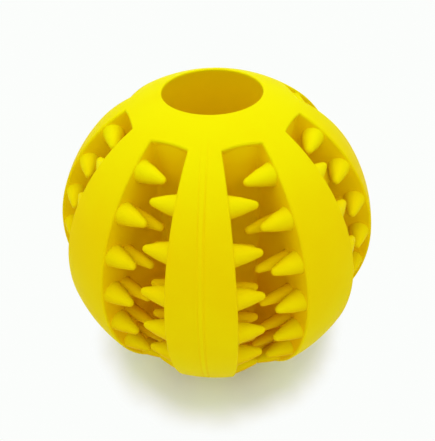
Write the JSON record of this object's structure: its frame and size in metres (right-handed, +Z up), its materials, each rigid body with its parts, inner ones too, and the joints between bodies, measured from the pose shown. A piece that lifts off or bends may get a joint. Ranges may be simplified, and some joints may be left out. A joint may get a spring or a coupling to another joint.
{
  "type": "treat dispensing ball",
  "caption": "Soft rubber dog ball with a round mouth into a treat chamber, and deep slots lined with pointed chewing teeth between its ribs.",
  "frame": {"origin": "centre of the flat foot, on the ball's axis", "axes": "+Z up the ball's axis and out of the mouth, -Y towards the front rib with the mould seam"},
  "size_m": [0.07, 0.07, 0.0676],
  "materials": {
    "rubber": "satin moulded rubber, bright yellow"
  },
  "bodies": {
    "root": {"mouth_collar": "rubber", "treat_chamber": "rubber", "base_cap": "rubber", "rib_1": "rubber", "rib_1_left_teeth": "rubber", "rib_1_right_teeth": "rubber", "rib_2": "rubber", "rib_2_left_teeth": "rubber", "rib_2_right_teeth": "rubber", "rib_3": "rubber", "rib_3_left_teeth": "rubber", "rib_3_right_teeth": "rubber", "rib_4": "rubber", "rib_4_left_teeth": "rubber", "rib_4_right_teeth": "rubber", "rib_5": "rubber", "rib_5_left_teeth": "rubber", "rib_5_right_teeth": "rubber", "rib_6": "rubber", "rib_6_left_teeth": "rubber", "rib_6_right_teeth": "rubber", "rib_7": "rubber", "rib_7_left_teeth": "rubber", "rib_7_right_teeth": "rubber", "rib_8": "rubber", "rib_8_left_teeth": "rubber", "rib_8_right_teeth": "rubber"}
  },
  "joints": []
}
